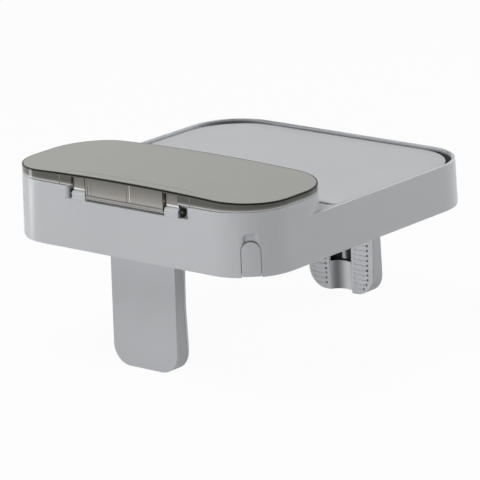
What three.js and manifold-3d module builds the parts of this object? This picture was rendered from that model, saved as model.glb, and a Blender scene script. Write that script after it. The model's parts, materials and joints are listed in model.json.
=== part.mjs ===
// Clip-over tray for the wall of an inflatable hot tub.
// A drafted tray body carries a storage box with a smoked hinged lid and a lift-out panel.
// Two legs straddle the tub wall: the front one is fixed, the rear one slides to suit the wall.
// Millimetres, +Z up, front towards -Y. The part stands on its two feet at Z = 0.

import * as THREE from 'three';
import { mergeVertices } from 'three/addons/utils/BufferGeometryUtils.js';
import Module from 'manifold-3d';

const wasm = await Module();
wasm.setup();

// Tray body, measured at its bottom edge and up from it
const trayWidth = 320;
const trayDepth = 340;
const rimHeight = 45.5;
const frontCornerRadius = 53;
const rearCornerRadius = 54;
const wallDraft = 1.46;
const wallThickness = 3;
const deckThickness = 2.5;

// Storage box at the front
const boxDepth = 128;
const boxHeight = 61.8;
const boxCornerRadius = 50.5;
const boxFloorHeight = 10;
const boxFloorThickness = 2.5;

// Lift-out panel and the recess it lies in
const recessFront = 119.6;
const recessFrontRadius = 8.6;
const panelDrop = 3;
const panelThickness = 3.2;
const panelGap = 1.25;
const panelFront = 132.5;
const panelFrontRadius = 12;
const panelRearRadius = 61;
const panelRibDepth = 4;
const panelRibWidth = 2;
const panelRibInset = 22;
const shelfWidth = 6;

// Lid and its front hinge
const lidWall = 2.5;
const lidSideHeight = 7.2;
const lidCrown = 4.7;
const lidGap = 0.3;
const hingeHeight = 53.8;
const hingeInset = 4.3;
const knuckleRadius = 4;
const knuckleGap = 0.6;
const notchLeft = 71.2;
const notchRight = 78.5;
const notchShoulder = 4;
const pocketWall = 2.6;
const pocketRampRise = 9;
const postInner = 49.3;
const postOuter = 66.2;
const earWidth = 4;
const hingeSideGap = 0.3;
const hingePinRadius = 1.5;
const hingePinReach = 13;
const postCover = 1.5;

// Fold-out hooks on the two front corners
const hookAngle = 42;
const hookWidth = 18.2;
const hookHeight = 33.8;
const hookThickness = 5;
const hookGap = 0.3;
const hookBayWall = 2.5;
const hookPivotDepth = 5.4;
const hookBarrelRadius = 4.2;
const hookFootGap = 1;
const hookPinRadius = 1.25;
const hookPinSeat = 2;
const hookNubDepth = 2.6;
const hookNubHeight = 6;
const scoopHeight = 8.5;
const scoopHalfWidth = 7.6;
const scoopCornerRadius = 3;
const scoopDepth = 3.6;
const scoopFloorShare = 0.55;

// Base plate that closes the underside, with two saddles that rest on the tub wall
const baseThickness = 3;
const baseGap = 0.3;
const saddleHeight = 1.5;
const saddleInner = 52;
const saddleOuter = 138;
const saddleMargin = 62;
const toothPitch = 4;
const toothDepth = 1;
const toothStripWidth = 24;

// Legs, measured down from the tray's bottom edge and in from the leg's outer face
const legLength = 113.5;
const legWidth = 80;
const legFootRadius = 20.5;
const legSplay = 3;
const legTopThickness = 15.5;
const legWaistThickness = 13.6;
const legWaistShare = 0.44;
const legBulgeThickness = 14.8;
const legBulgeRise = 25.5;
const legFootThickness = 14.2;
const legWall = 2.2;
const legTopWall = 3;
const frontLegInset = 22.5;
const rearLegInset = 8.7;
const rearLegTravel = 100;

// Grip plate on the inner side of each leg
const gripThickness = 2.4;
const gripGroove = 0.6;
const gripSpigotDepth = 3;
const gripSpigotWall = 1.5;
const gripFit = 0.3;
const troughWidth = 28;
const troughDepth = 9;
const troughWall = 1.6;
const troughHeight = 29.5;
const windowHeight = 48;
const ribPitch = 5.05;
const ribCount = 13;
const ribRise = 6.5;
const ribDepth = 1;
const ribWidth = 1.7;
const ribInner = 17.5;
const ribMargin = 4.5;

// Runner, release lever and its spring
const slideGap = 0.3;
const runnerLength = 20;
const runnerThickness = 5;
const runnerMargin = 8;
const neckWidth = 6;
const neckLength = 12;
const leverStemWidth = 4;
const leverStemDepth = 3;
const leverPadWidth = 10;
const leverPadDepth = 8;
const leverPadHeight = 2;
const leverTabRise = 36;
const leverTabWidth = 14;
const leverTabHeight = 3;
const leverTravel = 3;
const springShelfDrop = 20;
const springShelfThickness = 2;
const springCoilRadius = 3.4;
const springWireRadius = 0.45;
const springTurns = 6;
const leverAxisDepth = 6.6;

// Screws
const screwRadius = 1.5;
const screwHeadRadius = 3.1;
const screwHeadHeight = 1.8;
const screwFit = 0.2;
const bossRadius = 4.2;
const baseScrewLength = 7;
const legScrewLength = 14;
const legScrewSpread = 22;
const sideBossHeight = 24;

// Fits and drawing accuracy
const seatGap = 0.2;
const pinFit = 0.15;
const over = 2;
const cornerSteps = 9;
const roundSteps = 16;

// Values worked out from the sizes above
const draftSlope = Math.tan(THREE.MathUtils.degToRad(wallDraft));
const frontY = -trayDepth / 2;
const rearY = trayDepth / 2;
const hingeY = frontY + hingeHeight * draftSlope + hingeInset;
const lidBottom = boxHeight + lidGap;
const lidEdgeHeight = lidBottom + lidSideHeight;
const panelTop = rimHeight - panelDrop;
const panelBottom = panelTop - panelThickness;
const shelfTop = panelBottom - seatGap;
const frontLegY = frontY + frontLegInset;
const rearLegY = rearY - rearLegInset;
const neckDepth = legTopThickness / 2 - gripThickness / 2;
const hookBayDepth = hookPivotDepth + hookBarrelRadius + 1.5 * hookGap;
const legWaistDrop = legLength * legWaistShare;
const legBulgeDrop = legLength - legBulgeRise;
const windowBottom = legLength - troughHeight;
const windowTop = windowBottom - windowHeight;
const leverTabDrop = windowBottom - leverTabRise;
const ribLowest = legLength - ribRise;

// Solids and meshes

function solidOf(geometry) {
  const bare = geometry.index ? geometry.toNonIndexed() : geometry.clone();
  bare.deleteAttribute('normal');
  bare.deleteAttribute('uv');
  const merged = mergeVertices(bare, 1e-4);
  return new wasm.Manifold(new wasm.Mesh({
    numProp: 3,
    vertProperties: new Float32Array(merged.attributes.position.array),
    triVerts: new Uint32Array(merged.index.array),
  }));
}

function meshOf(name, solid, material) {
  const data = solid.getMesh();
  const geometry = new THREE.BufferGeometry();
  geometry.setAttribute('position', new THREE.BufferAttribute(new Float32Array(data.vertProperties), 3));
  geometry.setIndex(new THREE.BufferAttribute(new Uint32Array(data.triVerts), 1));
  geometry.computeVertexNormals();
  const mesh = new THREE.Mesh(geometry, material);
  mesh.name = name;
  return mesh;
}

function joined(solids) {
  return solids.reduce((whole, next) => whole.add(next));
}

function cutBy(solid, cutters) {
  return cutters.reduce((left, cutter) => left.subtract(cutter), solid);
}

// A rectangle with one radius at its front corners and one at its rear corners, counter-clockwise
function roundedOutline(left, right, front, rear, frontRadius, rearRadius) {
  const points = [];
  const corners = [
    [right - frontRadius, front + frontRadius, frontRadius, -Math.PI / 2],
    [right - rearRadius, rear - rearRadius, rearRadius, 0],
    [left + rearRadius, rear - rearRadius, rearRadius, Math.PI / 2],
    [left + frontRadius, front + frontRadius, frontRadius, Math.PI],
  ];
  for (const [x, y, radius, start] of corners) {
    for (let step = 0; step <= cornerSteps; step += 1) {
      const angle = start + (Math.PI / 2) * (step / cornerSteps);
      points.push(new THREE.Vector2(x + radius * Math.cos(angle), y + radius * Math.sin(angle)));
    }
  }
  return points;
}

// The drafted outer walls lean in as they rise, so outlines are asked for by height
function trayOutline(z, inset = 0) {
  const e = z * draftSlope + inset;
  const half = trayWidth / 2 - e;
  return roundedOutline(-half, half, frontY + e, rearY - e, frontCornerRadius - e, rearCornerRadius - e);
}

function boxOutline(z, inset = 0) {
  const e = z * draftSlope + inset;
  const half = trayWidth / 2 - e;
  const rear = frontY + boxDepth - e;
  return roundedOutline(-half, half, frontY + e, rear, frontCornerRadius - e, boxCornerRadius - e);
}

// A solid lofted between two outlines that have the same number of points
function loft(lower, z0, upper, z1) {
  const count = lower.length;
  const positions = [];
  lower.forEach((p) => positions.push(p.x, p.y, z0));
  upper.forEach((p) => positions.push(p.x, p.y, z1));
  const index = [];
  for (let i = 0; i < count; i += 1) {
    const j = (i + 1) % count;
    index.push(i, j, count + j, i, count + j, count + i);
  }
  for (const [a, b, c] of THREE.ShapeUtils.triangulateShape(lower, [])) {
    index.push(c, b, a);
  }
  for (const [a, b, c] of THREE.ShapeUtils.triangulateShape(upper, [])) {
    index.push(count + a, count + b, count + c);
  }
  const geometry = new THREE.BufferGeometry();
  geometry.setAttribute('position', new THREE.Float32BufferAttribute(positions, 3));
  geometry.setIndex(index);
  return solidOf(geometry);
}

function drafted(outline, z0, z1, inset = 0) {
  return loft(outline(z0, inset), z0, outline(z1, inset), z1);
}

function upright(points, z0, z1) {
  return loft(points, z0, points, z1);
}

function block(x0, x1, y0, y1, z0, z1) {
  const geometry = new THREE.BoxGeometry(x1 - x0, y1 - y0, z1 - z0);
  return solidOf(geometry.translate((x0 + x1) / 2, (y0 + y1) / 2, (z0 + z1) / 2));
}

function extruded(shape, depth) {
  return new THREE.ExtrudeGeometry(shape, { depth, bevelEnabled: false, curveSegments: roundSteps });
}

// A profile drawn in Y and Z, run along X
function alongXGeometry(shape, x0, x1) {
  const turn = new THREE.Matrix4().makeBasis(
    new THREE.Vector3(0, 1, 0), new THREE.Vector3(0, 0, 1), new THREE.Vector3(1, 0, 0));
  return extruded(shape, x1 - x0).applyMatrix4(turn).translate(x0, 0, 0);
}

function alongX(shape, x0, x1) {
  return solidOf(alongXGeometry(shape, x0, x1));
}

// An outline drawn in X and Z, run along Y
function alongYGeometry(shape, y0, y1) {
  const turn = new THREE.Matrix4().makeBasis(
    new THREE.Vector3(1, 0, 0), new THREE.Vector3(0, 0, 1), new THREE.Vector3(0, -1, 0));
  return extruded(shape, y1 - y0).applyMatrix4(turn).translate(0, y1, 0);
}

function alongY(shape, y0, y1) {
  return solidOf(alongYGeometry(shape, y0, y1));
}

function rodAlongX(radius, x0, x1, y, z) {
  const geometry = new THREE.CylinderGeometry(radius, radius, x1 - x0, roundSteps);
  return solidOf(geometry.rotateZ(Math.PI / 2).translate((x0 + x1) / 2, y, z));
}

function rodAlongZ(radius, z0, z1, x, y) {
  const geometry = new THREE.CylinderGeometry(radius, radius, z1 - z0, roundSteps);
  return solidOf(geometry.rotateX(Math.PI / 2).translate(x, y, (z0 + z1) / 2));
}

function polygon(points) {
  return new THREE.Shape(points.map(([a, b]) => new THREE.Vector2(a, b)));
}

// A profile round the hinge axis, moved to where the axis is
function atHinge(shapePoints) {
  return polygon(shapePoints.map(([y, z]) => [hingeY + y, hingeHeight + z]));
}

function arcPoints(radius, from, to, steps = roundSteps / 2) {
  const points = [];
  for (let step = 0; step <= steps; step += 1) {
    const angle = from + (to - from) * (step / steps);
    points.push([radius * Math.cos(angle), radius * Math.sin(angle)]);
  }
  return points;
}

// Finishes
const shellPlastic = new THREE.MeshStandardMaterial({ color: 0xb7b9bc, roughness: 0.5, metalness: 0 });
const panelPlastic = new THREE.MeshStandardMaterial({ color: 0xbcbec0, roughness: 0.55, metalness: 0 });
const legPlastic = new THREE.MeshStandardMaterial({ color: 0xafb1b4, roughness: 0.5, metalness: 0 });
const gripPlastic = new THREE.MeshStandardMaterial({ color: 0xadafb2, roughness: 0.6, metalness: 0 });
const smokedPlastic = new THREE.MeshStandardMaterial({
  color: 0x8f928a, roughness: 0.12, metalness: 0, transparent: true, opacity: 0.62 });
const steel = new THREE.MeshStandardMaterial({ color: 0xc4c6c8, roughness: 0.3, metalness: 1 });

// Screws: a pan head above a plain shank, standing head up with the head's seat at the origin
function screw(name, length) {
  const profile = [
    [0, -length], [screwRadius, -length], [screwRadius, 0], [screwHeadRadius, 0],
    [screwHeadRadius, screwHeadHeight * 0.6], [screwHeadRadius * 0.7, screwHeadHeight],
    [0, screwHeadHeight],
  ];
  const points = profile.map(([x, y]) => new THREE.Vector2(x, y));
  const geometry = new THREE.LatheGeometry(points, roundSteps / 2);
  return meshOf(name, solidOf(geometry.rotateX(Math.PI / 2)), steel);
}

// Places of the base screws: under the box floor, along the sides and along the rear wall
const boxScrewInset = 52;
const boxScrewY = boxDepth - 44;
const sideScrewFront = boxDepth + 68;
const sideScrewRear = trayDepth - rearCornerRadius - 6;
const boxScrewX = trayWidth / 2 - boxScrewInset;
const rearScrewX = 66;
const sideScrewX = trayWidth / 2 - wallThickness - bossRadius;
const rearScrewY = rearY - wallThickness - bossRadius;
const baseScrewPlaces = [];
for (const side of [-1, 1]) {
  baseScrewPlaces.push([side * boxScrewX, frontY + boxScrewY, boxFloorHeight - boxFloorThickness / 2]);
  baseScrewPlaces.push([side * sideScrewX, frontY + sideScrewFront, baseThickness + sideBossHeight]);
  baseScrewPlaces.push([side * sideScrewX, frontY + sideScrewRear, baseThickness + sideBossHeight]);
  baseScrewPlaces.push([side * rearScrewX, rearScrewY, baseThickness + sideBossHeight]);
}

// Fold-out hooks

const hookCentreX = trayWidth / 2 - frontCornerRadius;
const hookCentreY = frontY + frontCornerRadius;
const hookPivotZ = hookBarrelRadius + hookFootGap;
const hookPivotRadius = frontCornerRadius - hookPivotZ * draftSlope - hookPivotDepth;

// Turns something drawn facing -Y about the corner's centre to its place on a front corner
function onCorner(geometry, side) {
  const turned = geometry.rotateZ(side * THREE.MathUtils.degToRad(hookAngle));
  return turned.translate(side * hookCentreX, hookCentreY, 0);
}

function archedOutline(grow, bottom) {
  const half = hookWidth / 2 + grow;
  const spring = hookHeight - hookWidth / 2;
  const shape = new THREE.Shape();
  shape.moveTo(-half, bottom);
  shape.lineTo(half, bottom);
  shape.lineTo(half, spring);
  shape.absarc(0, spring, half, 0, Math.PI, false);
  return shape;
}

function cornerPrism(shape, side) {
  const reach = frontCornerRadius + over;
  return solidOf(onCorner(alongYGeometry(shape, -reach, -reach / 2), side));
}

function cornerRod(radius, halfLength, side) {
  const geometry = new THREE.CylinderGeometry(radius, radius, 2 * halfLength, roundSteps);
  geometry.rotateZ(Math.PI / 2).translate(0, -hookPivotRadius, hookPivotZ);
  return solidOf(onCorner(geometry, side));
}

const hookBayTop = hookHeight + scoopHeight + hookBayWall;

function hookBayBlock(side, grow = 0) {
  const half = hookWidth / 2 + hookGap + hookBayWall + grow;
  const shape = polygon([[-half, -over], [half, -over], [half, hookBayTop], [-half, hookBayTop]]);
  const layer = drafted(trayOutline, 0, hookBayTop, wallThickness / 2)
    .subtract(drafted(trayOutline, -over, hookBayTop + over, hookBayDepth + hookBayWall + grow));
  return cornerPrism(shape, side).intersect(layer);
}

// The scoop's outline, a rounded bar that is widest behind the hook's shoulders
function scoopOutline(share) {
  const half = scoopHalfWidth * share;
  const radius = scoopCornerRadius * share;
  const top = hookHeight + scoopHeight * share;
  const foot = hookHeight - hookWidth / 2;
  const corner = arcPoints(radius, 0, Math.PI / 2, cornerSteps);
  const right = corner.map(([x, z]) => [half - radius + x, top - radius + z]);
  const left = right.map(([x, z]) => [-x, z]).reverse();
  const outline = [[half + 2 * share, foot], ...right, ...left, [-half - 2 * share, foot]];
  return outline.map(([x, z]) => new THREE.Vector2(x, z));
}

// A finger scoop above the hook, with a flat floor and sides that slope out to the wall's face
function fingerScoop(side) {
  const face = frontCornerRadius - hookHeight * draftSlope;
  const outerShare = 1 + (1 - scoopFloorShare) * (over / scoopDepth);
  return loft(scoopOutline(scoopFloorShare), face - scoopDepth, scoopOutline(outerShare), face + over)
    .rotate([90, 0, side * hookAngle])
    .translate([side * hookCentreX, hookCentreY, 0]);
}

function hookBayCuts(side) {
  const bay = cornerPrism(archedOutline(hookGap, -over), side)
    .subtract(drafted(trayOutline, -2 * over, hookBayTop, hookBayDepth));
  const bore = cornerRod(hookPinRadius + pinFit, hookWidth / 2 + hookGap + hookPinSeat + seatGap, side);
  return [bay, bore, fingerScoop(side)];
}

// The hook from the side, drawn from the corner's centre: a slab whose foot is a barrel on the pin and
// whose top carries a nub, which becomes the hook's upturned tip when it is folded out
function hookProfile() {
  const outside = frontCornerRadius + over;
  const back = frontCornerRadius - hookThickness;
  const nubTop = hookHeight - hookNubHeight / 2;
  const nubBottom = nubTop - hookNubHeight;
  const join = Math.acos((back - hookPivotRadius) / hookBarrelRadius);
  const barrel = arcPoints(hookBarrelRadius, join, Math.PI * 1.5);
  const points = [
    [outside, hookFootGap], [outside, hookHeight + over], [back, hookHeight + over],
    [back, nubTop], [back - hookNubDepth, nubTop - hookNubDepth / 2],
    [back - hookNubDepth, nubBottom], [back, nubBottom],
    ...barrel.map(([out, up]) => [hookPivotRadius + out, hookPivotZ + up]),
  ];
  return polygon(points.map(([out, up]) => [-out, up]).reverse());
}

function hook(side) {
  const half = hookWidth / 2 + over;
  const bar = solidOf(onCorner(alongXGeometry(hookProfile(), -half, half), side));
  return bar.intersect(cornerPrism(archedOutline(0, 0), side))
    .intersect(drafted(trayOutline, 0, rimHeight))
    .subtract(cornerRod(hookPinRadius + pinFit, hookWidth, side));
}

function hookPin(side) {
  return cornerRod(hookPinRadius, hookWidth / 2 + hookGap + hookPinSeat, side);
}

// Tray shell: one moulding with the outer walls, the box, the deck round the panel and the hinge posts

function recessOutline(gap, front, frontRadius, rearRadius) {
  const e = rimHeight * draftSlope + wallThickness + gap;
  const half = trayWidth / 2 - e;
  return roundedOutline(-half, half, frontY + front, rearY - e, frontRadius, rearRadius);
}

// A shelf with a sloping underside, drawn from the wall at 0 towards the panel
function shelfShape(width) {
  const root = wallThickness / 2;
  return [[-root, shelfTop], [-root, shelfTop - width - root], [width, shelfTop]];
}

function shelves() {
  const wallFace = rimHeight * draftSlope + wallThickness;
  const sideFront = frontY + boxDepth + shelfWidth;
  const sideRear = rearY - rearCornerRadius;
  const halfRear = trayWidth / 2 - rearCornerRadius - wallThickness;
  const halfFront = trayWidth / 2 - boxCornerRadius - wallThickness;
  const made = [];
  for (const side of [-1, 1]) {
    const flip = shelfShape(shelfWidth).map(([w, z]) => [side * (trayWidth / 2 - wallFace - w), z]);
    const ordered = side < 0 ? flip : flip.reverse();
    made.push(alongY(polygon(ordered), sideFront, sideRear));
  }
  const rear = shelfShape(shelfWidth).map(([w, z]) => [rearY - wallFace - w, z]).reverse();
  made.push(alongX(polygon(rear), -halfRear, halfRear));
  const boxFace = frontY + boxDepth - shelfTop * draftSlope;
  const frontWidth = frontY + panelFront - boxFace + shelfWidth;
  const front = shelfShape(frontWidth).map(([w, z]) => [boxFace + w, z]);
  made.push(alongX(polygon(front), -halfFront, halfFront));
  return made;
}

// The pocket's walls, behind the front wall, with a ramp under them so that the mould draws
function hingePocketBlock() {
  const back = knuckleRadius + knuckleGap + pocketWall;
  const bottom = -knuckleRadius - knuckleGap - pocketWall;
  const front = -hingeInset + wallThickness / 2;
  const top = boxHeight - hingeHeight;
  const shape = atHinge([[front, bottom - pocketRampRise], [back, bottom], [back, top], [front, top]]);
  return alongX(shape, -notchLeft - pocketWall, notchRight + pocketWall);
}

function hingePocketCut() {
  const room = knuckleRadius + knuckleGap;
  const out = -hingeInset - over - wallThickness;
  const top = boxHeight - hingeHeight + over;
  const scoop = arcPoints(room, -Math.PI / 2, 0);
  const shape = atHinge([[out, top], [out, -room], ...scoop, [room, top]]);
  return alongX(shape, -notchLeft, notchRight);
}

// The left-hand notch has a rounded shoulder, from the wall's face in to the pocket
function notchShoulderCut() {
  const bottom = hingeHeight - knuckleRadius - knuckleGap;
  const face = frontY + bottom * draftSlope;
  const arc = arcPoints(notchShoulder, 0, -Math.PI / 2);
  const points = [
    [-notchLeft - notchShoulder, face - over], [-notchLeft + over, face - over],
    [-notchLeft + over, face + notchShoulder],
    ...arc.map(([x, y]) => [x - notchLeft - notchShoulder, y + face + notchShoulder]),
  ];
  return upright(points.map(([x, y]) => new THREE.Vector2(x, y)), bottom, boxHeight + over);
}

function hingePost(side) {
  const room = knuckleRadius + knuckleGap + pocketWall / 2;
  const crown = arcPoints(knuckleRadius, Math.PI, 0);
  const shape = atHinge([[-knuckleRadius, -room], [room, -room], [room, 0], ...crown.reverse()]);
  const ends = [side * postInner, side * postOuter].sort((a, b) => a - b);
  return alongX(shape, ends[0], ends[1]);
}

// The front wall's top is rounded about the hinge axis, so that the lid's skirt can swing over it
function hingeRelief() {
  const radius = boxHeight - hingeHeight;
  const out = -hingeInset - over - wallThickness;
  const round = arcPoints(radius, Math.PI / 2, Math.PI);
  const shape = atHinge([[0, radius + over], ...round, [Math.min(out, -radius - over), 0],
    [Math.min(out, -radius - over), radius + over]]);
  return alongX(shape, -trayWidth / 2, trayWidth / 2);
}

function trayShell() {
  const boxOuter = drafted(boxOutline, 0, boxHeight);
  const body = drafted(trayOutline, 0, rimHeight).add(boxOuter);
  const tub = drafted(boxOutline, boxFloorHeight - boxFloorThickness, boxHeight);
  const underDeck = drafted(trayOutline, -over, rimHeight - deckThickness, wallThickness).subtract(tub);
  const recess = upright(recessOutline(0, recessFront, recessFrontRadius, rearCornerRadius - wallThickness),
    rimHeight - deckThickness - over, rimHeight + over).subtract(boxOuter);
  const boxRoom = drafted(boxOutline, boxFloorHeight, boxHeight + over, wallThickness);
  const hollow = cutBy(body, [underDeck, recess, boxRoom]);

  const inside = drafted(trayOutline, 0, boxHeight, wallThickness / 2);
  const bossFoot = baseThickness + seatGap;
  const bosses = baseScrewPlaces.map(([x, y, top]) => rodAlongZ(bossRadius, bossFoot, top, x, y));
  const added = joined([...bosses, ...shelves()]).intersect(inside);
  const bays = [-1, 1].map((side) => hookBayBlock(side));
  const walled = joined([hollow, added, ...bays, hingePocketBlock()]);

  const bores = baseScrewPlaces.map(([x, y]) => rodAlongZ(
    screwRadius + screwFit, -over, screwHeadHeight + baseScrewLength + seatGap, x, y));
  const bayCuts = [-1, 1].flatMap((side) => hookBayCuts(side));
  const opened = cutBy(walled, [...bores, ...bayCuts, hingePocketCut(), notchShoulderCut(), hingeRelief()]);
  const posts = [-1, 1].map((side) => hingePost(side));
  const pinBore = rodAlongX(hingePinRadius + pinFit, -trayWidth / 4, trayWidth / 4, hingeY, hingeHeight);
  return joined([opened, ...posts.map((post) => post.subtract(pinBore))]);
}

function hingePin(side) {
  const ends = [side * (postInner - hingePinReach), side * (postOuter + hingeSideGap + earWidth)];
  ends.sort((a, b) => a - b);
  return rodAlongX(hingePinRadius, ends[0], ends[1], hingeY, hingeHeight);
}

// Lid: a shallow smoked cap with a crowned top, a centre flap and two ears on the hinge axis

function crownProfile(drop) {
  const half = trayWidth / 2;
  const steps = roundSteps * 2;
  const shape = new THREE.Shape();
  shape.moveTo(-half - over, 0);
  shape.lineTo(half + over, 0);
  for (let step = 0; step <= steps; step += 1) {
    const x = half + over - (2 * (half + over)) * (step / steps);
    shape.lineTo(x, lidEdgeHeight + lidCrown * (1 - (x / half) ** 2) - drop);
  }
  return alongY(shape, frontY - over, frontY + boxDepth + over);
}

// The lid's front, seen from the side: a plate that ends in a round knuckle on the axis
function knuckleProfile() {
  const top = lidBottom - hingeHeight + lidWall / 2;
  const plateBack = -knuckleRadius + lidWall;
  const start = Math.acos(plateBack / knuckleRadius);
  const round = arcPoints(knuckleRadius, start, -Math.PI);
  return atHinge([[-knuckleRadius, top], ...round.reverse(), [plateBack, top]]);
}

function lid() {
  const top = lidEdgeHeight + lidCrown + over;
  const outer = drafted(boxOutline, lidBottom, top).intersect(crownProfile(0));
  const inner = drafted(boxOutline, lidBottom - over, top, lidWall).intersect(crownProfile(lidWall));
  const flapHalf = postInner - hingeSideGap;
  const earInner = postOuter + hingeSideGap;
  const apronBottom = knuckleRadius + postCover;
  const apronTop = lidBottom - hingeHeight + lidWall / 2;
  const apron = atHinge([[-knuckleRadius, apronBottom], [-knuckleRadius + lidWall, apronBottom],
    [-knuckleRadius + lidWall, apronTop], [-knuckleRadius, apronTop]]);
  const parts = [
    outer.subtract(inner),
    alongX(apron, -earInner - earWidth, earInner + earWidth),
    alongX(knuckleProfile(), -flapHalf, flapHalf),
    alongX(knuckleProfile(), earInner, earInner + earWidth),
    alongX(knuckleProfile(), -earInner - earWidth, -earInner),
  ];
  const bores = [-1, 1].map((side) => {
    const ends = [side * (postInner - hingePinReach - hingeSideGap), side * (earInner + earWidth + over)];
    ends.sort((a, b) => a - b);
    return rodAlongX(hingePinRadius + pinFit, ends[0], ends[1], hingeY, hingeHeight);
  });
  return cutBy(joined(parts), bores);
}

// Lift-out panel behind the box, ribbed underneath

function trayPanel() {
  const outline = recessOutline(panelGap, panelFront, panelFrontRadius, panelRearRadius);
  const plate = upright(outline, panelBottom, panelTop);
  const half = trayWidth / 2 - wallThickness - panelRibInset;
  const front = frontY + boxDepth + panelRibInset;
  const rear = rearY - wallThickness - panelRibInset;
  const ribBottom = panelBottom - panelRibDepth;
  const ribTop = panelBottom + panelThickness / 2;
  const ribs = [];
  for (const share of [-1, -0.5, 0, 0.5, 1]) {
    const x = share * half;
    ribs.push(block(x - panelRibWidth / 2, x + panelRibWidth / 2, front, rear, ribBottom, ribTop));
  }
  for (const share of [0, 1 / 3, 2 / 3, 1]) {
    const y = front + share * (rear - front);
    ribs.push(block(-half, half, y - panelRibWidth / 2, y + panelRibWidth / 2, ribBottom, ribTop));
  }
  return joined([plate, ...ribs]);
}

// Base plate with the rear leg's two slots, a toothed strip between them and the saddles

const rearNeckY = rearLegY - neckDepth;
const frontNeckY = frontLegY + neckDepth;

function basePlate() {
  const plate = drafted(trayOutline, 0, baseThickness, wallThickness + baseGap);
  const saddles = [-1, 1].map((side) => {
    const ends = [side * saddleInner, side * saddleOuter].sort((a, b) => a - b);
    const [y0, y1] = [frontY + saddleMargin, rearY - saddleMargin];
    return block(ends[0], ends[1], y0, y1, -saddleHeight, baseThickness / 2);
  });
  const bays = [-1, 1].map((side) => hookBayBlock(side, baseGap));
  const counterbore = screwHeadRadius + screwFit;
  const holes = baseScrewPlaces.flatMap(([x, y]) => [
    rodAlongZ(screwRadius + screwFit, -over, baseThickness + over, x, y),
    rodAlongZ(counterbore, -over, screwHeadHeight + seatGap, x, y),
  ]);
  const slots = [];
  const slotHalf = neckWidth / 2 + slideGap;
  const slotRear = rearNeckY + neckLength / 2 + slideGap;
  const slotFront = rearNeckY - neckLength / 2 - slideGap - rearLegTravel;
  for (const side of [-1, 1]) {
    const x = side * legScrewSpread;
    slots.push(block(x - slotHalf, x + slotHalf, slotFront, slotRear, -over, baseThickness + over));
    holes.push(rodAlongZ(screwRadius + screwFit, -over, baseThickness + over, x, frontNeckY));
  }
  const teeth = [];
  const toothCount = Math.floor((slotRear - slotFront) / toothPitch);
  for (let i = 0; i < toothCount; i += 1) {
    const y = slotFront + (i + 0.5) * toothPitch;
    const shape = polygon([[y - toothPitch / 4, -over], [y + toothPitch / 4, -over],
      [y + toothPitch / 4, 0], [y, toothDepth], [y - toothPitch / 4, 0]]);
    teeth.push(alongX(shape, -toothStripWidth / 2, toothStripWidth / 2));
  }
  return cutBy(joined([plate, ...saddles]), [...bays, ...holes, ...slots, ...teeth]);
}

// Legs, drawn with their outer face at Y = 0, their inner side towards +Y and the tray's edge at Z = 0

const legTop = -slideGap;

// How far the outer and inner faces lie at a given drop below the tray
function outerFaceAt(drop) {
  return -legSplay * (drop / legLength);
}

const innerFace = [
  [legTopThickness, legTop], [legWaistThickness, -legWaistDrop],
  [legBulgeThickness, -legBulgeDrop], [legFootThickness, -legLength],
];

// The leg's side profile from its outer face, moved in by a wall, to its inner face, moved out by a depth
function legProfile(wall, innerDepth, top, bottom) {
  const inner = innerFace.map(([y, z]) => [y - innerDepth, z]);
  inner[0][1] = top;
  inner[inner.length - 1][1] = bottom;
  const outer = [[outerFaceAt(-top) + wall, top], [outerFaceAt(-bottom) + wall, bottom]];
  return polygon([...outer, ...inner.reverse()]);
}

function legOutline(inset, top) {
  const half = legWidth / 2 - inset;
  const bottom = -legLength + inset;
  const radius = legFootRadius - inset;
  const shape = new THREE.Shape();
  shape.moveTo(half, top);
  shape.lineTo(-half, top);
  shape.lineTo(-half, bottom + radius);
  shape.absarc(-half + radius, bottom + radius, radius, Math.PI, Math.PI * 1.5, false);
  shape.absarc(half - radius, bottom + radius, radius, Math.PI * 1.5, Math.PI * 2, false);
  return shape;
}

const legReach = legTopThickness + legSplay + over;

function legBlank(wall, innerDepth, inset, top) {
  const profile = legProfile(wall, innerDepth, top, -legLength);
  return alongX(profile, -legWidth / 2, legWidth / 2)
    .intersect(alongY(legOutline(inset, top), -legReach, legReach));
}

// The finger trough: a half pipe that runs up the middle of the grip from the foot
const troughRadius = ((troughWidth / 2) ** 2 + troughDepth ** 2) / (2 * troughDepth);
const troughCentre = legFootThickness - troughDepth + troughRadius;

function troughPipe(grow, z0, z1) {
  return rodAlongZ(troughRadius + grow, z0, z1, 0, troughCentre);
}

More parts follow.
